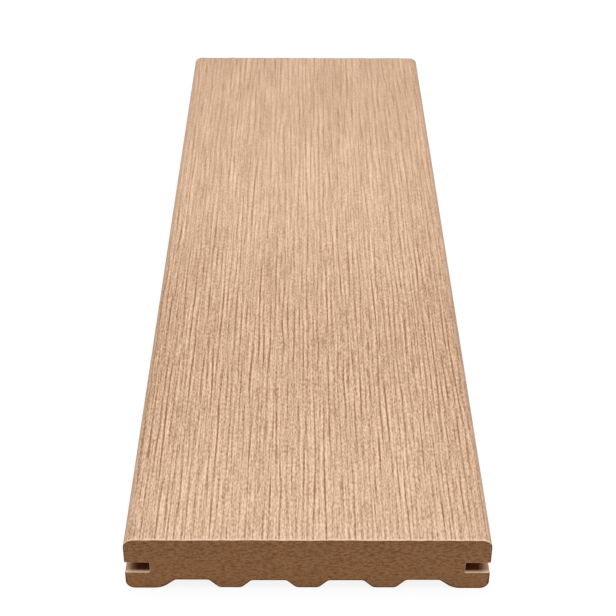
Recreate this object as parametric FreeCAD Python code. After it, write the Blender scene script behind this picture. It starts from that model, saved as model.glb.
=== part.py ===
import FreeCAD
import Part
import math
import os

# Decking board of capped wood composite, with an embossed walking face, a clip groove
# along each side and a scalloped underside. It is one extruded piece, sawn square at
# both ends, and it lies on the outer two of its feet.
# Frame: X across the board, Y along it, Z up, with the origin under the board's middle.

# Driving dimensions, in millimetres and degrees

BOARD_WIDTH = 136.0
BOARD_THICKNESS = 24.3  # from the outer feet to the walking face
BOARD_LENGTH = 430.0

TOP_ARRIS_RADIUS = 4.0  # long edges of the walking face
BOTTOM_ARRIS_RADIUS = 3.5  # long edges of the underside

GROOVE_FLOOR_HEIGHT = 7.95  # lower wall of the clip groove, above the outer feet
GROOVE_HEIGHT = 5.0
GROOVE_DEPTH = 9.35
GROOVE_LIP_RADIUS = 0.4
GROOVE_ROOT_RADIUS = 0.5

# Feet and scallops are measured between the sharp corners of their soles and flanks
OUTER_FOOT_WIDTH = 13.4  # from the side of the board
OUTER_FOOT_BLEND_RADIUS = 8.0
OUTER_FLANK_ANGLE = 39.5  # slope of the flank that rises from an outer foot
INNER_FOOT_WIDTH = 8.4
INNER_FOOT_RISE = 0.3  # soles of the inner feet, above the outer ones
INNER_FOOT_EDGE_RADIUS = 2.5
INNER_FLANK_ANGLE = 45.0

SCALLOP_COUNT = 4
OUTER_SCALLOP_HEIGHT = 4.2  # roof of the first and the last scallop, above the outer feet
INNER_SCALLOP_HEIGHT = 3.95
OUTER_SCALLOP_EXTRA = 1.1  # how much wider the first and the last scallop are at the feet
SCALLOP_ROOT_RADIUS = 2.0

# The largest share of a side that the rounding of one of its corners may take
ROUNDING_SHARE = 0.49

# Worked-out sizes

SIDE_X = BOARD_WIDTH / 2
GROOVE_ROOT_X = SIDE_X - GROOVE_DEPTH
GROOVE_ROOF_HEIGHT = GROOVE_FLOOR_HEIGHT + GROOVE_HEIGHT

# The scallops share the width that the feet leave
FEET_WIDTH = 2 * OUTER_FOOT_WIDTH + (SCALLOP_COUNT - 1) * INNER_FOOT_WIDTH
INNER_MOUTH = (BOARD_WIDTH - FEET_WIDTH - 2 * OUTER_SCALLOP_EXTRA) / SCALLOP_COUNT


def flank_corners(foot_x, on_outer_foot, roof_height, heading):
    """Sharp corners of a flank, from its foot up to the roof: each as x, z and its rounding.

    The heading is 1 for a flank that runs towards +X as it rises and -1 for one towards -X.
    """
    sole, angle, radius = INNER_FOOT_RISE, INNER_FLANK_ANGLE, INNER_FOOT_EDGE_RADIUS
    if on_outer_foot:
        sole, angle, radius = 0.0, OUTER_FLANK_ANGLE, OUTER_FOOT_BLEND_RADIUS
    run = (roof_height - sole) / math.tan(math.radians(angle))
    return [(foot_x, sole, radius), (foot_x + heading * run, roof_height, SCALLOP_ROOT_RADIUS)]


def underside_corners():
    """Sharp corners of the underside, scallop by scallop from -X to +X."""
    corners = []
    left_x = -SIDE_X + OUTER_FOOT_WIDTH
    for number in range(SCALLOP_COUNT):
        is_first = number == 0
        is_last = number == SCALLOP_COUNT - 1
        is_outer = is_first or is_last
        roof_height = OUTER_SCALLOP_HEIGHT if is_outer else INNER_SCALLOP_HEIGHT
        right_x = left_x + INNER_MOUTH + (is_first + is_last) * OUTER_SCALLOP_EXTRA
        corners += flank_corners(left_x, is_first, roof_height, 1)
        corners += reversed(flank_corners(right_x, is_last, roof_height, -1))
        left_x = right_x + INNER_FOOT_WIDTH
    return corners


def side_corners():
    """Sharp corners of the +X side with its clip groove, from the outer foot up."""
    return [
        (SIDE_X, 0.0, BOTTOM_ARRIS_RADIUS),
        (SIDE_X, GROOVE_FLOOR_HEIGHT, GROOVE_LIP_RADIUS),
        (GROOVE_ROOT_X, GROOVE_FLOOR_HEIGHT, GROOVE_ROOT_RADIUS),
        (GROOVE_ROOT_X, GROOVE_ROOF_HEIGHT, GROOVE_ROOT_RADIUS),
        (SIDE_X, GROOVE_ROOF_HEIGHT, GROOVE_LIP_RADIUS),
        (SIDE_X, BOARD_THICKNESS, TOP_ARRIS_RADIUS),
    ]


def section_corners():
    """Sharp corners of the whole section, once round: underside, +X side, -X side."""
    right_side = side_corners()
    left_side = [(-x, z, radius) for x, z, radius in reversed(right_side)]
    return underside_corners() + right_side + left_side


def corner_rounding(before, corner, after):
    """Start, middle and end of the arc that rounds a corner, tangent to both its sides."""
    sharp = FreeCAD.Vector(corner[0], 0, corner[1])
    to_before = FreeCAD.Vector(before[0], 0, before[1]) - sharp
    to_after = FreeCAD.Vector(after[0], 0, after[1]) - sharp
    half_angle = to_before.getAngle(to_after) / 2
    longest_cut = ROUNDING_SHARE * min(to_before.Length, to_after.Length)
    cut = min(corner[2] / math.tan(half_angle), longest_cut)
    radius = cut * math.tan(half_angle)

    to_before.normalize()
    to_after.normalize()
    inwards = (to_before + to_after).normalize()
    centre = sharp + inwards * (radius / math.sin(half_angle))
    return sharp + to_before * cut, centre - inwards * radius, sharp + to_after * cut


def rounded_section(corners):
    """Face inside the closed outline of straight sides and corner arcs."""
    roundings = []
    for number, corner in enumerate(corners):
        after = corners[(number + 1) % len(corners)]
        roundings.append(corner_rounding(corners[number - 1], corner, after))

    edges = []
    for number, (start, middle, end) in enumerate(roundings):
        next_start = roundings[(number + 1) % len(roundings)][0]
        edges.append(Part.Arc(start, middle, end).toShape())
        edges.append(Part.LineSegment(end, next_start).toShape())
    return Part.Face(Part.Wire(edges))


def decking_board():
    """The section carried along the board's length."""
    board = rounded_section(section_corners()).extrude(FreeCAD.Vector(0, BOARD_LENGTH, 0))
    board.translate(FreeCAD.Vector(0, -BOARD_LENGTH / 2, 0))
    return board


os.makedirs("parts", exist_ok=True)
decking_board().exportStep("parts/decking_board.step")
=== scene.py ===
import math

import bpy
import numpy as np
from mathutils import Matrix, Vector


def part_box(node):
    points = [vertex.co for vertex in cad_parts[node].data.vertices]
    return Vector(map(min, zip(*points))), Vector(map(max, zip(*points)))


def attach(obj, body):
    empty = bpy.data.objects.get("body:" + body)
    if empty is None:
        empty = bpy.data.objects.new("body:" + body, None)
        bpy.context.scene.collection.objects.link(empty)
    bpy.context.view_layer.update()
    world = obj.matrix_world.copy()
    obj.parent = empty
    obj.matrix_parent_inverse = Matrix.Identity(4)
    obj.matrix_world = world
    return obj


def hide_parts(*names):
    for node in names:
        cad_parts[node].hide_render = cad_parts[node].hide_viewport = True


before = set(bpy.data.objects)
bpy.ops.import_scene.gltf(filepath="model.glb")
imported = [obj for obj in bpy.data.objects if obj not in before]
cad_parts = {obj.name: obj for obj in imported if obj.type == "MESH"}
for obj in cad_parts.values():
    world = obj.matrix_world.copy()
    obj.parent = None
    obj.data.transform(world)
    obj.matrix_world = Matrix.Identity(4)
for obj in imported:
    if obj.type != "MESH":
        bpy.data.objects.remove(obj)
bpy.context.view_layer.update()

# Looks of a capped wood-composite decking board: one piece of stock whose walking face
# is pressed with lengthwise grain, laid on a pale studio floor. Lengths are in metres.

MM = 0.001

(LEFT_X, NEAR_Y, FOOT_Z), (RIGHT_X, FAR_Y, TOP_Z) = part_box("decking_board")

# The section, with the sizes that the solid has

TOP_ARRIS_RADIUS = 4.0 * MM
BOTTOM_ARRIS_RADIUS = 3.5 * MM
GROOVE_FLOOR_HEIGHT = 7.95 * MM
GROOVE_HEIGHT = 5.0 * MM
GROOVE_DEPTH = 9.35 * MM
GROOVE_LIP_RADIUS = 0.4 * MM
GROOVE_ROOT_RADIUS = 0.5 * MM
OUTER_FOOT_WIDTH = 13.4 * MM
OUTER_FOOT_BLEND_RADIUS = 8.0 * MM
OUTER_FLANK_ANGLE = math.radians(39.5)
INNER_FOOT_WIDTH = 8.4 * MM
INNER_FOOT_RISE = 0.3 * MM
INNER_FOOT_EDGE_RADIUS = 2.5 * MM
INNER_FLANK_ANGLE = math.radians(45)
SCALLOP_COUNT = 4
OUTER_SCALLOP_HEIGHT = 4.2 * MM
INNER_SCALLOP_HEIGHT = 3.95 * MM
OUTER_SCALLOP_EXTRA = 1.1 * MM
SCALLOP_ROOT_RADIUS = 2.0 * MM

# The mesh: columns round the section, rows along the board

TOP_COLUMN = 0.21 * MM
GROOVE_COLUMN = 1.0 * MM
SIDE_COLUMN = 6.0 * MM
ARC_COLUMN = 0.6 * MM
FEWEST_ARC_COLUMNS = 3
ROW = 4.3 * MM
END_ROW = 0.5 * MM
END_ROWS = 4
HAIR = 0.01 * MM

# The sawn ends: their broken edges, and the width and the tone of the painted shade on their rims

SAWN_ARRIS = 0.12 * MM
SAWN_ARRIS_ROWS = 4
SAWN_RIM = 0.22 * MM
UNDERSIDE_RIM = 0.50 * MM
OUTER_RIM_SHADE = 1.5
TOP_RIM_SHADE = 0.08
TOP_RIM_HEIGHT = TOP_ARRIS_RADIUS / 2
GROOVE_RIM_SHADE = 0.15

# The pressed lines, in three sets: the pitch of the lanes and the width of a line, the
# reach from one strength of a line to the next, the share of strengths that leaves a gap,
# how many pitches a line may stray from the middle of its lane, and its random seed

LONG_LINES = dict(pitch=2.16 * MM, width=0.41 * MM, reach=23 * MM, gaps=0.09, stray=0.28, seed=1)
BROKEN_LINES = dict(pitch=1.34 * MM, width=0.35 * MM, reach=28 * MM, gaps=0.25, stray=0.45, seed=2)
FINE_LINES = dict(pitch=0.87 * MM, width=0.21 * MM, reach=19 * MM, gaps=0.41, stray=0.45, seed=3)
BROKEN_STRENGTH = 0.49
FINE_STRENGTH = 0.61

# How each line runs: the reach from one drift to the next, how much it wanders, in
# pitches, the height and width of its ridges as shares of its own, and how it wears

DRIFT_REACH = 46 * MM
WANDER = 0.10
RIDGE = 0.37
RIDGE_WIDTH = 3.2
WORN_RIDGE = 1.2
WORN_WIDENING = 0.80
WORN_FROM = 50 * MM
WORN_TO = 430 * MM
WORN_SHARE = 0.56
SPARE = 4  # lanes and knots past the board's own, so that each has neighbours

# The walking face's relief: the depth of a full line, the height of the ridges, the slow
# dips, and how far upwards a surface faces where the relief begins and where it is full

LINE_DEPTH = 0.21 * MM
RIDGE_HEIGHT = 0.07 * MM
DIP_DEPTH = 0.24 * MM
DIP_WIDTH = 3.6 * MM
DIP_REACH = 60 * MM
DIP_SPARE = 2
DIP_SEED = 4
UPWARD_FROM = 0.35
UPWARD_FULL = 0.90

# The walking face's tones, where more is darker: the lines' full tone, as a share of the
# way from the cap's lightest colour to its darkest, the slow changes along and across, a
# painted highlight on the near sawn edge and painted shade on the far one, and how crisp
# the sides are beside it

GRAIN_TONE = 0.87
LIGHTEST_TONE = 0.80
SLOW_WAVE = 290 * MM
SLOW_WAVE_CREST = 274 * MM
SLOW_WAVE_TONE = 0.065
EDGE_TONE = 0.13
EDGE_POWER = 6
# Painted highlight along the near sawn edge of the walking face, painted shade along the far one
NEAR_END_HIGHLIGHT = -0.47
FAR_END_SHADE = 0.30
END_REACH = 0.7 * MM
SIDE_SHARE = 0.45

# Where the cap gives way to bare core: a height up the lower arris, and distances in from
# the side in the grooves, inside which bare core and painted shade darken the walls, and
# whose mouths carry a painted highlight on the sawn ends

CAP_START = 1.0 * MM
CORE_AND_SHADE_FROM = 1.2 * MM
CORE_AND_SHADE_FULL = 4.6 * MM
CORE_AND_SHADE_ABOVE_FLOOR = 0.72
MOUTH_HIGHLIGHT_REACH = 1.35 * MM
MOUTH_HIGHLIGHT_POWER = 4
MOUTH_HIGHLIGHT_BACK_WALL = 0.9

# Finishes, as places in the board's list of materials

CAP, GROOVE, UNDERSIDE, SAWN_END = range(4)


def flank_corners(foot_x, on_outer_foot, roof_height, heading):
    """Sharp corners of a flank, up from its foot towards +X or, with heading -1, -X.

    The roof's corner is the roof's height over the sole, divided by the tangent of the
    flank's angle, along X from the foot's.
    """
    sole, angle, radius = INNER_FOOT_RISE, INNER_FLANK_ANGLE, INNER_FOOT_EDGE_RADIUS
    if on_outer_foot:
        sole, angle, radius = 0, OUTER_FLANK_ANGLE, OUTER_FOOT_BLEND_RADIUS
    roof_x = foot_x + heading * (roof_height - sole) / math.tan(angle)
    return [(foot_x, FOOT_Z + sole, radius), (roof_x, FOOT_Z + roof_height, SCALLOP_ROOT_RADIUS)]


def section_corners():
    """Sharp corners of the section, anticlockwise seen from the near end: x, z, rounding."""
    feet = 2 * OUTER_FOOT_WIDTH + (SCALLOP_COUNT - 1) * INNER_FOOT_WIDTH
    mouth = (RIGHT_X - LEFT_X - feet - 2 * OUTER_SCALLOP_EXTRA) / SCALLOP_COUNT
    start = LEFT_X + OUTER_FOOT_WIDTH
    underside = []
    for number in range(SCALLOP_COUNT):
        first = number == 0
        last = number == SCALLOP_COUNT - 1
        roof_height = OUTER_SCALLOP_HEIGHT if first or last else INNER_SCALLOP_HEIGHT
        end = start + mouth + (first + last) * OUTER_SCALLOP_EXTRA
        underside += flank_corners(start, first, roof_height, 1)
        underside += flank_corners(end, last, roof_height, -1)[::-1]
        start = end + INNER_FOOT_WIDTH
    groove_z = FOOT_Z + GROOVE_FLOOR_HEIGHT
    right_side = [
        (RIGHT_X, FOOT_Z, BOTTOM_ARRIS_RADIUS),
        (RIGHT_X, groove_z, GROOVE_LIP_RADIUS),
        (RIGHT_X - GROOVE_DEPTH, groove_z, GROOVE_ROOT_RADIUS),
        (RIGHT_X - GROOVE_DEPTH, groove_z + GROOVE_HEIGHT, GROOVE_ROOT_RADIUS),
        (RIGHT_X, groove_z + GROOVE_HEIGHT, GROOVE_LIP_RADIUS),
        (RIGHT_X, TOP_Z, TOP_ARRIS_RADIUS),
    ]
    left_side = [(-x, z, radius) for x, z, radius in reversed(right_side)]
    return np.array(underside + right_side + left_side)


def unit(vectors):
    """Each row of vectors divided by its length."""
    return vectors / np.linalg.norm(vectors, axis=-1, keepdims=True)


def in_groove(x, z):
    """Whether a place on the outline is on a wall of a clip groove."""
    roof_z = FOOT_Z + GROOVE_FLOOR_HEIGHT + GROOVE_HEIGHT
    high_enough = z > FOOT_Z + GROOVE_FLOOR_HEIGHT - HAIR
    return high_enough & (z < roof_z + HAIR) & (abs(x) < RIGHT_X - HAIR)


def run_spacing(start, end):
    """Spacing of the columns on a straight run: finest on the walking face."""
    if min(start[1], end[1]) > TOP_Z - HAIR:
        return TOP_COLUMN
    return GROOVE_COLUMN if in_groove(*(start + end) / 2) else SIDE_COLUMN


def section_outline():
    """Points round the section.

    Every corner becomes an arc tangent to its two sides: its centre lies on the corner's
    bisector, radius / sin(half angle) from the corner, and its ends lie radius / tan(half
    angle) along the sides. Straight runs between arcs are divided evenly, finely on top.
    """
    corners = section_corners()
    sharp, radius = corners[:, :2], corners[:, 2:]
    back = unit(np.roll(sharp, 1, axis=0) - sharp)
    ahead = unit(np.roll(sharp, -1, axis=0) - sharp)
    half = np.arccos((back * ahead).sum(axis=1, keepdims=True)) / 2
    centre = sharp + unit(back + ahead) * radius / np.sin(half)
    start = sharp + back * radius / np.tan(half)
    end = sharp + ahead * radius / np.tan(half)
    first = np.arctan2(*(start - centre).T[::-1])
    turn = np.arctan2(*(end - centre).T[::-1]) - first
    turn = (turn + math.pi) % (2 * math.pi) - math.pi

    outline = []
    for i in range(len(corners)):
        length = abs(turn[i]) * radius[i, 0]
        columns = max(FEWEST_ARC_COLUMNS, math.ceil(length / ARC_COLUMN))
        angles = first[i] + turn[i] * np.linspace(0, 1, columns + 1)
        arc = centre[i] + radius[i] * np.stack([np.cos(angles), np.sin(angles)], axis=1)
        following = start[(i + 1) % len(corners)]
        columns = math.ceil(np.linalg.norm(following - end[i]) / run_spacing(end[i], following))
        steps = np.linspace(0, 1, columns + 1)[1:-1, None]
        outline += [arc, end[i] + (following - end[i]) * steps]
    return np.concatenate(outline)


def outline_normals(outline):
    """Outward unit normals, square to the chord between each point's neighbours."""
    chord = unit(np.roll(outline, -1, axis=0) - np.roll(outline, 1, axis=0))
    return np.stack([chord[:, 1], -chord[:, 0]], axis=1)


def board_rows():
    """Places of the rows along the board.

    They are evenly spaced, with a few more beside each sawn edge, and arris (1 - cos(angle))
    from the end on the broken edge itself. Each end has two rows, for its rim.
    """
    turn = np.linspace(0, math.pi / 2, SAWN_ARRIS_ROWS + 1)
    edge = [[0], SAWN_ARRIS * (1 - np.cos(turn)), END_ROW * np.arange(1, END_ROWS + 1)]
    edge = np.concatenate(edge)
    inner = np.linspace(NEAR_Y, FAR_Y, math.ceil((FAR_Y - NEAR_Y) / ROW) + 1)[1:-1]
    return np.concatenate([NEAR_Y + edge, inner, FAR_Y - edge[::-1]])


def ease(t):
    """A share t as t^2 (3 - 2 t), which leaves 0 and reaches 1 without a kink."""
    t = np.clip(t, 0, 1)
    return t * t * (3 - 2 * t)


def eased(table, lane, place):
    """A lane's random knots read at a place, each eased into the next."""
    knot = np.floor(place).astype(int)
    share = ease(place - knot)
    return table[lane, knot] * (1 - share) + table[lane, knot + 1] * share


def crispness(along):
    """Share of the grain's contrast that is left: 1, less WORN_SHARE eased in along the board."""
    return 1 - WORN_SHARE * ease((along - WORN_FROM) / (WORN_TO - WORN_FROM))


def pressed_lines(across, along, pitch, width, reach, gaps, stray, seed):
    """Pressed grain lines: about 1 in the middle of a line, below 0 on the ridges beside it.

    The width is cut into lanes of one pitch, each with one line, which drifts along the
    board up to stray pitches either side of the lane's middle. At a distance d across, a
    line is exp(-(d / width)^2) less RIDGE times exp(-(d / (RIDGE_WIDTH width))^2), times a
    strength that eases between random knots one reach apart and is nil below the share
    given by gaps. Worn lines are wider, by their crispness to the power -WORN_WIDENING,
    and their ridges stand out more.
    """
    chance = np.random.default_rng(seed)
    lanes = int(across.max() / pitch) + SPARE
    knots = int(along.max() / min(reach, DRIFT_REACH)) + SPARE
    ahead = chance.uniform(0, 1, lanes)
    drifts = chance.uniform(-stray, stray, (lanes, knots))
    wanders = chance.normal(0, WANDER, (lanes, knots))
    strengths = chance.uniform(0, 1, (lanes, knots))
    own_lane = np.floor(across / pitch).astype(int) + 1
    crisp = crispness(along)
    width = width / crisp**WORN_WIDENING
    ridge = RIDGE * (1 + WORN_RIDGE * (1 - crisp))
    lines = np.zeros(across.shape)
    for lane in (own_lane - 1, own_lane, own_lane + 1):
        place = along / reach + ahead[lane]
        drift = eased(drifts, lane, along / DRIFT_REACH + ahead[lane])
        centre = (lane - 0.5 + drift + eased(wanders, lane, place)) * pitch
        strength = ((eased(strengths, lane, place) - gaps) / (1 - gaps)).clip(0, 1)
        off = ((across - centre) / width) ** 2
        lines += strength * (np.exp(-off) - ridge * np.exp(-off / RIDGE_WIDTH**2))
    return lines


def pressed_grain(across, along):
    """Three sets of lines added up: long ones, more broken ones between, and fine ones."""
    long = pressed_lines(across, along, **LONG_LINES)
    broken = pressed_lines(across, along, **BROKEN_LINES)
    fine = pressed_lines(across, along, **FINE_LINES)
    return long + BROKEN_STRENGTH * broken + FINE_STRENGTH * fine


def slow_dips(across, along):
    """Unevenness of the walking face, 0 to 1: random knots, a width apart across the board
    and a reach apart along it, eased into each other both ways."""
    columns = int(across.max() / DIP_WIDTH) + DIP_SPARE
    rows = int(along.max() / DIP_REACH) + DIP_SPARE
    knots = np.random.default_rng(DIP_SEED).uniform(0, 1, (columns, rows))
    column = np.floor(across / DIP_WIDTH).astype(int)
    share = ease(across / DIP_WIDTH - column)
    here = eased(knots, column, along / DIP_REACH)
    beyond = eased(knots, column + 1, along / DIP_REACH)
    return here * (1 - share) + beyond * share


def embossed_share(outline, normals):
    """Share of the grain's depth: all of it where the top faces up, nil down the sides."""
    share = (normals[:, 1] - UPWARD_FROM) / (UPWARD_FULL - UPWARD_FROM)
    return np.where(outline[:, 1] > TOP_Z - TOP_ARRIS_RADIUS, share.clip(0, 1), 0)


def face_tone(x, along):
    """Slow changes of tone, where more is darker.

    A cosine wave along the board, a rise towards its long edges as the sixth power of the
    distance from the middle, and a painted line on each sawn edge, a painted highlight on the
    near one and painted shade on the far one, that dies away as exp(-(distance / END_REACH)^2).
    """
    wave = -SLOW_WAVE_TONE * np.cos(2 * math.pi * (along - SLOW_WAVE_CREST) / SLOW_WAVE)
    edge = EDGE_TONE * (x / RIGHT_X) ** EDGE_POWER
    near_end_highlight = NEAR_END_HIGHLIGHT * np.exp(-((along / END_REACH) ** 2))
    far_end_shade = FAR_END_SHADE * np.exp(-(((FAR_Y - NEAR_Y - along) / END_REACH) ** 2))
    return wave + edge + near_end_highlight + far_end_shade


def grain_tone(lines, embossed):
    """Tone of the lines where they are embossed, about each row's mean on the flat top.

    What is lighter than the mean is held back: t becomes LIGHTEST_TONE tanh(t / LIGHTEST_TONE).
    """
    tone = lines - lines[:, embossed == 1].mean(axis=1, keepdims=True)
    return np.where(tone < 0, LIGHTEST_TONE * np.tanh(tone / LIGHTEST_TONE), tone) * embossed


def bare_core_and_shade(outline):
    """Share of bare core on a groove's wall.

    It eases up from 0 at the mouth to 1 inside, and is lower on the back wall and the roof.
    Inside, the core's dark colour is partly painted shade.
    """
    x, z = outline.T
    inside = ease((RIGHT_X - abs(x) - CORE_AND_SHADE_FROM) / (CORE_AND_SHADE_FULL - CORE_AND_SHADE_FROM))
    on_floor = z < FOOT_Z + GROOVE_FLOOR_HEIGHT + GROOVE_ROOT_RADIUS
    return inside * np.where(on_floor, 1.0, CORE_AND_SHADE_ABOVE_FLOOR)


def mouth_highlight_share(outline, along):
    """Share of painted highlight inside a groove's mouth on a sawn end, where light falls in.

    It is exp(-(distance from the end / MOUTH_HIGHLIGHT_REACH)^4), and less on the groove's back
    wall.
    """
    to_end = np.minimum(along, FAR_Y - NEAR_Y - along)
    on_back_wall = abs(outline[:, 0]) < RIGHT_X - GROOVE_DEPTH + GROOVE_ROOT_RADIUS
    share = np.where(on_back_wall, MOUTH_HIGHLIGHT_BACK_WALL, 1.0)
    return share * np.exp(-((to_end / MOUTH_HIGHLIGHT_REACH) ** MOUTH_HIGHLIGHT_POWER))


def rim_width(outline):
    """Width of a sawn end's darker rim: narrow enough for the grooves' lips, wider below."""
    # The rim carries painted shade, widest along the underside
    low = outline[:, 1] < FOOT_Z + OUTER_SCALLOP_HEIGHT + HAIR
    return np.where(low, UNDERSIDE_RIM, SAWN_RIM)


def rim_shade(outline):
    """How much darker than its middle a sawn end is at each point of its outline."""
    # Painted shade: darkest round the sides and the underside, faint at the top and in the grooves
    x, z = outline.T
    tone = np.where(z > TOP_Z - TOP_RIM_HEIGHT, TOP_RIM_SHADE, OUTER_RIM_SHADE)
    return np.where(in_groove(x, z), GROOVE_RIM_SHADE, tone)


def wall_finishes(outline):
    """Finish of the wall from each outline point to the next: core below, cap above."""
    x, z = ((outline + np.roll(outline, -1, axis=0)) / 2).T
    in_scallop = z < FOOT_Z + OUTER_SCALLOP_HEIGHT + HAIR
    in_scallop &= abs(x) < RIGHT_X - BOTTOM_ARRIS_RADIUS
    above = np.where(in_groove(x, z), GROOVE, CAP)
    return np.where(in_scallop | (z < FOOT_Z + CAP_START), UNDERSIDE, above)


def board_points(outline, normals, rows, depth):
    """The outline at each row, moved inwards along its normals.

    It moves by the depth of the relief, plus arris - sqrt(arris^2 - (arris - t)^2) at a
    distance t from an end, which rounds the sawn edge. The first and last rows lie on the
    sawn ends, a rim's width inside them.
    """
    to_end = np.minimum(rows - NEAR_Y, FAR_Y - rows).clip(0, SAWN_ARRIS)
    inset = SAWN_ARRIS - np.sqrt(SAWN_ARRIS**2 - (SAWN_ARRIS - to_end) ** 2)
    inwards = depth + inset[:, None]
    inwards[[0, -1]] += rim_width(outline)
    points = np.empty((*inwards.shape, 3))
    points[..., 0] = outline[:, 0] - normals[:, 0] * inwards
    points[..., 1] = rows[:, None]
    points[..., 2] = outline[:, 1] - normals[:, 1] * inwards
    return points.reshape(-1, 3)


def board_faces(rows, columns):
    """Four-sided faces from each row to the next, and one flat face on each sawn end."""
    ring = np.arange(columns)
    onward = np.roll(ring, -1)
    near = columns * np.arange(rows - 1)[:, None]
    far = near + columns
    walls = np.stack([near + ring, far + ring, far + onward, near + onward], axis=-1)
    return list(walls.reshape(-1, 4)) + [ring, far[-1] + ring[::-1]]


def face_finishes(outline, rows):
    """Each face's finish, and whether it is smooth.

    The sawn ends and the rims on them are sawn core and flat. The broken edges are sawn
    core too, apart from those on top and in the grooves.
    """
    finishes = np.tile(wall_finishes(outline), (rows - 1, 1))
    finishes[[0, -1]] = SAWN_END
    arris = np.arange(1, SAWN_ARRIS_ROWS + 1)
    arris = np.concatenate([arris, -1 - arris])
    finishes[np.ix_(arris, rim_shade(outline) == OUTER_RIM_SHADE)] = SAWN_END
    smooth = np.ones(finishes.shape, dtype=bool)
    smooth[[0, -1]] = False
    return np.append(finishes, [SAWN_END, SAWN_END]), np.append(smooth, [False, False])


def put_mesh(name, points, faces, finishes, smooth):
    """A mesh object from points, lists of point numbers, and each face's finish."""
    sizes = np.array([len(face) for face in faces])
    mesh = bpy.data.meshes.new(name)
    mesh.vertices.add(len(points))
    mesh.vertices.foreach_set("co", points.astype(np.float32).ravel())
    mesh.loops.add(int(sizes.sum()))
    mesh.loops.foreach_set("vertex_index", np.concatenate(faces).astype(np.int32))
    mesh.polygons.add(len(faces))
    mesh.polygons.foreach_set("loop_start", (np.cumsum(sizes) - sizes).astype(np.int32))
    mesh.polygons.foreach_set("material_index", finishes.astype(np.int32))
    mesh.polygons.foreach_set("use_smooth", smooth)
    mesh.update(calc_edges=True)
    piece = bpy.data.objects.new(name, mesh)
    bpy.context.scene.collection.objects.link(piece)
    return piece


def put_attribute(piece, name, values):
    """A number kept with each point of a piece, for its finishes to read."""
    attribute = piece.data.attributes.new(name, "FLOAT", "POINT")
    attribute.data.foreach_set("value", values.astype(np.float32).ravel())


def grained_board():
    """The board: its section carried along its length, the walking face pressed with grain.

    The relief is a ridge's height plus the lines' depth, no less than nil, plus the slow
    dips' depth, times the share that is embossed at each place on the outline.
    """
    outline = section_outline()
    normals = outline_normals(outline)
    rows = board_rows()
    run = np.linalg.norm(np.diff(outline, axis=0, append=outline[:1]), axis=1).cumsum()
    across = (run[-1] - run)[None, :] + np.zeros((len(rows), 1))
    along = (rows - NEAR_Y)[:, None] + np.zeros((1, len(outline)))

    lines = pressed_grain(across, along)
    embossed = embossed_share(outline, normals)
    pressed = (RIDGE_HEIGHT + LINE_DEPTH * lines).clip(0, None)
    depth = (pressed + DIP_DEPTH * slow_dips(across, along)) * embossed
    points = board_points(outline, normals, rows, depth)
    faces = board_faces(len(rows), len(outline))
    board = put_mesh("grained_board", points, faces, *face_finishes(outline, len(rows)))

    crisp = crispness(along) * (SIDE_SHARE + (1 - SIDE_SHARE) * embossed)
    mouth_highlight = mouth_highlight_share(outline, along)
    # Painted shade along the sawn ends' rims and their broken edges
    rim = np.zeros(along.shape)
    rim[1:SAWN_ARRIS_ROWS + 2] = rim_shade(outline)
    rim[-SAWN_ARRIS_ROWS - 2:-1] = rim_shade(outline)
    # The slow tones, with a painted highlight on the near sawn edge and painted shade on the far
    # one
    tone_and_painted_edges = face_tone(outline[:, 0], along)
    put_attribute(board, "grain", grain_tone(lines, embossed) + tone_and_painted_edges / GRAIN_TONE)
    put_attribute(board, "crispness", crisp)
    # Bare core with painted shade inside the grooves, and a painted highlight in their mouths
    put_attribute(board, "bare_core_and_shade", bare_core_and_shade(outline) * (1 - mouth_highlight))
    put_attribute(board, "mouth_highlight", mouth_highlight)
    put_attribute(board, "sawn_rim_shade", rim)
    return board


class Flow:
    """A number that varies over a surface. Arithmetic on it adds Math nodes."""

    def __init__(self, recipe, socket):
        self.recipe = recipe
        self.socket = socket

    def worked(self, operation, first, second):
        """A Math node on two numbers, either of which may be a plain one."""
        return self.recipe.node("ShaderNodeMath", {"operation": operation}, {0: first, 1: second})

    def __add__(self, other):
        return self.worked("ADD", self, other)

    def __radd__(self, other):
        return self.worked("ADD", other, self)

    def __sub__(self, other):
        return self.worked("SUBTRACT", self, other)

    def __rsub__(self, other):
        return self.worked("SUBTRACT", other, self)

    def __mul__(self, other):
        return self.worked("MULTIPLY", self, other)

    def __rmul__(self, other):
        return self.worked("MULTIPLY", other, self)


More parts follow.
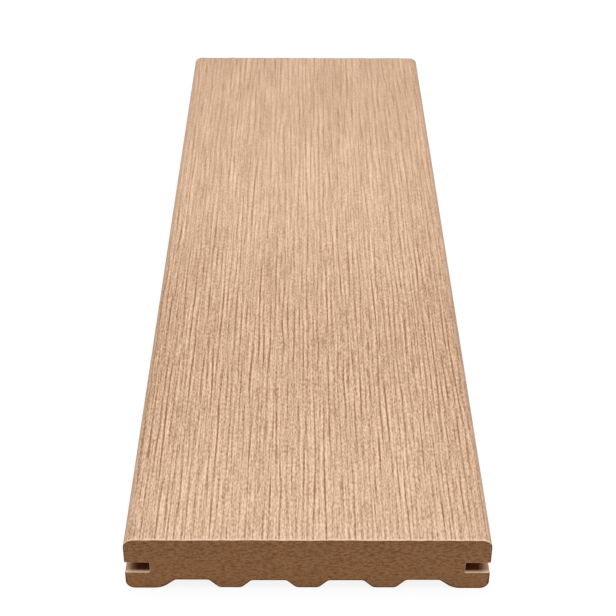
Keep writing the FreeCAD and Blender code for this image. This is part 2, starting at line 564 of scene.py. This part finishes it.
class Recipe:
    """The nodes of a material or of the world, and the one way in which they are made."""

    def __init__(self, owner):
        owner.use_nodes = True
        self.owner = owner
        self.tree = owner.node_tree
        self.tree.nodes.clear()

    def node(self, kind, settings=None, inputs=None, output=0):
        """Adds a node: its settings first, then a value or a link for each socket named."""
        node = self.tree.nodes.new(kind)
        for name, value in (settings or {}).items():
            setattr(node, name, value)
        for name, value in (inputs or {}).items():
            if isinstance(value, Flow):
                self.tree.links.new(value.socket, node.inputs[name])
            else:
                node.inputs[name].default_value = value
        return Flow(self, node.outputs[output]) if node.outputs else None

    def kept(self, name):
        """A number that the piece keeps with its points."""
        return self.node("ShaderNodeAttribute", {"attribute_name": name}, output="Fac")

    def noise(self, cells, detail=0.0, roughness=0.5):
        """Noise from -1 to 1 with cells of the given size along X, Y and Z."""
        place = self.node("ShaderNodeTexCoord", output="Object")
        scale = [1 / size for size in cells]
        place = self.node("ShaderNodeMapping", None, {"Vector": place, "Scale": scale})
        values = {"Vector": place, "Scale": 1.0, "Detail": detail, "Roughness": roughness}
        return 2 * self.node("ShaderNodeTexNoise", None, values) - 1

    def height(self):
        """Height over the floor, in metres."""
        place = self.node("ShaderNodeTexCoord", output="Object")
        return self.node("ShaderNodeSeparateXYZ", None, {"Vector": place}, "Z")

    def mixed(self, share, first, second):
        """A share of the second colour blended into the first.

        A Mix node takes its colours at sockets 6 and 7, and gives the blend at 2.
        """
        return self.node("ShaderNodeMix", {"data_type": "RGBA"}, {0: share, 6: first, 7: second}, 2)

    def bump(self, height, distance):
        """The normal as a height from 0 to 1 times the distance tilts it."""
        return self.node("ShaderNodeBump", None, {"Height": height, "Distance": distance})

    def closed(self, shader, kind="ShaderNodeOutputMaterial"):
        """The material or world, with its shader joined to its output."""
        self.node(kind, None, {"Surface": shader})
        return self.owner


def tint(red, green, blue):
    """A screen colour, 0 to 255, as the linear colour that the shaders take.

    By the screen's curve a share up to 0.04045 is divided by 12.92, and any other becomes
    ((share + 0.055) / 1.055)^2.4.
    """
    linear = []
    for level in (red, green, blue):
        share = level / 255
        linear.append(share / 12.92 if share <= 0.04045 else ((share + 0.055) / 1.055) ** 2.4)
    return (*linear, 1.0)


# The finishes of the cap, the groove, the underside and the sawn end. Each has its colours,
# the sizes of its noise cells along X, Y and Z, how much each noise darkens it, and its
# roughness, relief and gloss. A noise sinks or lifts the relief from its middle height.

MIDDLE_HEIGHT = 0.5

CAP_LIGHTEST = tint(244, 208, 178)
CAP_DARKEST = tint(150, 107, 70)
SPECKS = (0.5 * MM, 1.7 * MM, 0.5 * MM)
STREAKS = (0.5 * MM, 12 * MM, 0.5 * MM)
CAP_MIDDLE = 0.445
SPECK_TONE = 0.48
STREAK_TONE = 0.34
CAP_ROUGHNESS = 0.62
STREAK_ROUGHNESS = 0.10
CAP_RELIEF = 0.05 * MM
CAP_GLOSS = 0.25

MOUTH_CAP = tint(216, 176, 143)
# Painted highlight in a groove's mouth at the sawn ends
MOUTH_HIGHLIGHT = tint(255, 226, 193)
# Bare core, made darker so that it also stands in for the shade inside the groove
GROOVE_CORE_AND_SHADE = tint(106, 58, 26)
GROOVE_LINES = (0.7 * MM, 60 * MM, 0.7 * MM)
GROOVE_LINE_TONE = 0.15
GROOVE_ROUGHNESS = 0.65
GROOVE_CORE_ROUGHNESS = 0.10
GROOVE_RELIEF = 0.05 * MM
GROOVE_GLOSS = 0.2

UNDERSIDE_LIGHTEST = tint(160, 115, 80)
UNDERSIDE_DARKEST = tint(116, 78, 50)
DIE_LINES = (0.8 * MM, 90 * MM, 0.8 * MM)
UNDERSIDE_FLOUR = (0.6 * MM, 2.4 * MM, 0.6 * MM)
UNDERSIDE_MIDDLE = 0.5
DIE_LINE_TONE = 0.45
UNDERSIDE_FLOUR_TONE = 0.45
UNDERSIDE_ROUGHNESS = 0.62
UNDERSIDE_FLOUR_ROUGHNESS = 0.08
UNDERSIDE_RELIEF = 0.06 * MM
UNDERSIDE_GLOSS = 0.3

SAWN_LIGHTEST = tint(175, 125, 83)
SAWN_DARKEST = tint(121, 78, 42)
# Painted shade along the sawn end's rim
SAWN_RIM_SHADE_COLOUR = tint(64, 42, 26)
MOTTLE = (1.9 * MM, 1.9 * MM, 0.75 * MM)
MOTTLE_COARSENESS = 0.6
SAWN_FLOUR = (0.6 * MM, 0.6 * MM, 0.5 * MM)
# Painted light: the sawn end is painted lighter towards its foot, against the shade that falls
# there
SAWN_FOOT_TONE = 0.165
SAWN_FOOT_PAINTED_LIGHT = 0.25
MOTTLE_TONE = 1.42
SAWN_FLOUR_TONE = 0.6
SAWN_ROUGHNESS = 0.75
SAWN_FLOUR_ROUGHNESS = 0.08
MOTTLE_SINK = 0.3
SAWN_FLOUR_SINK = 0.2
SAWN_RELIEF = 0.10 * MM
SAWN_GLOSS = 0.2


def cap_finish():
    """Tan cap: darker in the pressed lines, specked and finely streaked all over."""
    cap = Recipe(bpy.data.materials.new("tan_cap"))
    # The grain's tone also carries the painted highlight and shade along the sawn edges
    grain = cap.kept("grain")
    crisp = cap.kept("crispness")
    specks = cap.noise(SPECKS)
    streaks = cap.noise(STREAKS)
    fine = (SPECK_TONE * specks + STREAK_TONE * streaks) * crisp
    dark = CAP_MIDDLE + GRAIN_TONE * grain * crisp + fine
    return cap.closed(cap.node("ShaderNodeBsdfPrincipled", None, {
        "Base Color": cap.mixed(dark, CAP_LIGHTEST, CAP_DARKEST),
        "Roughness": CAP_ROUGHNESS + STREAK_ROUGHNESS * streaks,
        "Normal": cap.bump(MIDDLE_HEIGHT - MIDDLE_HEIGHT * fine, CAP_RELIEF),
        "Specular IOR Level": CAP_GLOSS,
    }))


def groove_finish():
    """The groove's wall: cap at its mouth with a painted highlight at the sawn ends, thinning to
    bare core darkened by painted shade inside.
    """
    wall = Recipe(bpy.data.materials.new("groove_wall"))
    # Painted shade deep in the groove, and a painted highlight in its mouth at the sawn ends
    bare = wall.kept("bare_core_and_shade")
    mouth_highlight = wall.kept("mouth_highlight")
    lines = wall.noise(GROOVE_LINES, detail=1.0)
    cap = wall.mixed(mouth_highlight, MOUTH_CAP, MOUTH_HIGHLIGHT)
    return wall.closed(wall.node("ShaderNodeBsdfPrincipled", None, {
        "Base Color": wall.mixed(bare + GROOVE_LINE_TONE * lines, cap, GROOVE_CORE_AND_SHADE),
        "Roughness": GROOVE_ROUGHNESS + GROOVE_CORE_ROUGHNESS * bare,
        "Normal": wall.bump(MIDDLE_HEIGHT - MIDDLE_HEIGHT * lines, GROOVE_RELIEF),
        "Specular IOR Level": GROOVE_GLOSS,
    }))


def underside_finish():
    """Bare wood-plastic core as it leaves the die: brown, faintly lined lengthwise."""
    core = Recipe(bpy.data.materials.new("extruded_core"))
    lines = core.noise(DIE_LINES, detail=2.0)
    flour = core.noise(UNDERSIDE_FLOUR, detail=2.0)
    dark = UNDERSIDE_MIDDLE + DIE_LINE_TONE * lines + UNDERSIDE_FLOUR_TONE * flour
    return core.closed(core.node("ShaderNodeBsdfPrincipled", None, {
        "Base Color": core.mixed(dark, UNDERSIDE_LIGHTEST, UNDERSIDE_DARKEST),
        "Roughness": UNDERSIDE_ROUGHNESS + UNDERSIDE_FLOUR_ROUGHNESS * flour,
        "Normal": core.bump(MIDDLE_HEIGHT - MIDDLE_HEIGHT * lines, UNDERSIDE_RELIEF),
        "Specular IOR Level": UNDERSIDE_GLOSS,
    }))


def sawn_finish():
    """Wood-plastic core across the saw cut: brown, mottled by the flour in it."""
    core = Recipe(bpy.data.materials.new("sawn_core"))
    # Painted shade along the rim
    rim = core.kept("sawn_rim_shade")
    mottle = core.noise(MOTTLE, detail=2.0, roughness=MOTTLE_COARSENESS)
    flour = core.noise(SAWN_FLOUR, detail=1.0)
    # Painted light: lighter towards the foot, against the shade that falls there
    dark = SAWN_FOOT_TONE + SAWN_FOOT_PAINTED_LIGHT / TOP_Z * core.height()
    dark = dark + MOTTLE_TONE * mottle + SAWN_FLOUR_TONE * flour
    sawn = core.mixed(dark, SAWN_LIGHTEST, SAWN_DARKEST)
    relief = MIDDLE_HEIGHT - MOTTLE_SINK * mottle - SAWN_FLOUR_SINK * flour
    return core.closed(core.node("ShaderNodeBsdfPrincipled", None, {
        "Base Color": core.mixed(rim, sawn, SAWN_RIM_SHADE_COLOUR),
        "Roughness": SAWN_ROUGHNESS + SAWN_FLOUR_ROUGHNESS * flour,
        "Normal": core.bump(relief, SAWN_RELIEF),
        "Specular IOR Level": SAWN_GLOSS,
    }))


# Studio: the floor's glow is what the camera sees of it without any light on it

WHITE = (1.0, 1.0, 1.0, 1.0)
FLOOR_RADIUS = 0.75
FLOOR_CORNERS = 96
FLOOR_DROP = 0.05 * MM
FLOOR_SHADE = (0.80, 0.80, 0.80, 1.0)
FLOOR_SHADOW_SHARE = 0.20
FLOOR_GLOW = 0.88
WORLD_LIGHT = 0.25
SEEN_BY = ("Is Camera Ray", "Is Glossy Ray", "Is Transmission Ray")
LAMP_PLACE = (0.0, -0.02, 1.6)
LAMP_SIZE = 1.6
LAMP_POWER = 26.0

# The camera as it stood, found from the board's edges in the picture

PICTURE_WIDTH = 616
FOCAL_PIXELS = 1435.3
SENSOR_WIDTH = 36.0
CLOSEST_VIEW = 10 * MM
CAMERA_PLACE = (-2.67 * MM, -389.85 * MM, 387.17 * MM)  # from the near end's foot line
CAMERA_PITCH = math.radians(33.764)
CAMERA_YAW = math.radians(0.338)
CAMERA_ROLL = math.radians(-0.316)


def seen_plainly(recipe):
    """1 for what the camera sees, also in a mirror or through glass, and 0 for all else."""
    first, second, third = [recipe.node("ShaderNodeLightPath", output=name) for name in SEEN_BY]
    return first.worked("MAXIMUM", first.worked("MAXIMUM", first, second), third)


def put_floor():
    """A round pale floor, which the camera sees nearly white, with a share of its shadow.

    Its rim is a circle, radius times cosine and sine of evenly spaced angles, a hair below
    the board's feet.
    """
    turn = 2 * math.pi * np.arange(FLOOR_CORNERS) / FLOOR_CORNERS
    height = np.full(FLOOR_CORNERS, FOOT_Z - FLOOR_DROP)
    rim = np.stack([FLOOR_RADIUS * np.cos(turn), FLOOR_RADIUS * np.sin(turn), height], axis=1)
    face = [np.arange(FLOOR_CORNERS)]
    floor = put_mesh("floor", rim, face, np.zeros(1), np.zeros(1, dtype=bool))
    paint = Recipe(bpy.data.materials.new("pale_floor"))
    matt = paint.node("ShaderNodeBsdfDiffuse", None, {"Color": FLOOR_SHADE})
    strength = FLOOR_GLOW / (1 - FLOOR_SHADOW_SHARE)
    glow = paint.node("ShaderNodeEmission", None, {"Strength": strength})
    seen = seen_plainly(paint) * (1 - FLOOR_SHADOW_SHARE)
    shader = paint.node("ShaderNodeMixShader", None, {0: seen, 1: matt, 2: glow})
    floor.data.materials.append(paint.closed(shader))


def light_studio():
    """Even white light from all round, and one broad soft lamp overhead."""
    world = Recipe(bpy.data.worlds.new("studio"))
    strength = WORLD_LIGHT + (1 - WORLD_LIGHT) * seen_plainly(world)
    air = world.node("ShaderNodeBackground", None, {"Color": WHITE, "Strength": strength})
    bpy.context.scene.world = world.closed(air, "ShaderNodeOutputWorld")

    lamp = bpy.data.lights.new("overhead", "AREA")
    lamp.shape = "SQUARE"
    lamp.size = LAMP_SIZE
    lamp.energy = LAMP_POWER
    holder = bpy.data.objects.new("overhead", lamp)
    holder.location = LAMP_PLACE
    holder.rotation_euler = holder.location.to_track_quat("Z", "Y").to_euler()
    bpy.context.scene.collection.objects.link(holder)


def set_camera():
    """The camera, pitched down over the near end, with its small yaw and roll."""
    view = bpy.data.cameras.new("camera")
    view.sensor_width = SENSOR_WIDTH
    view.lens = FOCAL_PIXELS / PICTURE_WIDTH * SENSOR_WIDTH
    view.clip_start = CLOSEST_VIEW
    camera = bpy.data.objects.new("camera", view)
    x, y, z = CAMERA_PLACE
    turn = Matrix.Rotation(-CAMERA_YAW, 4, "Z")
    turn = turn @ Matrix.Rotation(math.pi / 2 - CAMERA_PITCH, 4, "X")
    turn = turn @ Matrix.Rotation(-CAMERA_ROLL, 4, "Z")
    camera.matrix_world = Matrix.Translation((x, NEAR_Y + y, FOOT_Z + z)) @ turn
    bpy.context.scene.collection.objects.link(camera)
    bpy.context.scene.camera = camera


board = grained_board()
for finish in (cap_finish(), groove_finish(), underside_finish(), sawn_finish()):
    board.data.materials.append(finish)
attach(board, "root")
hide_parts("decking_board")

put_floor()
light_studio()
set_camera()
bpy.context.scene.view_settings.view_transform = "Standard"
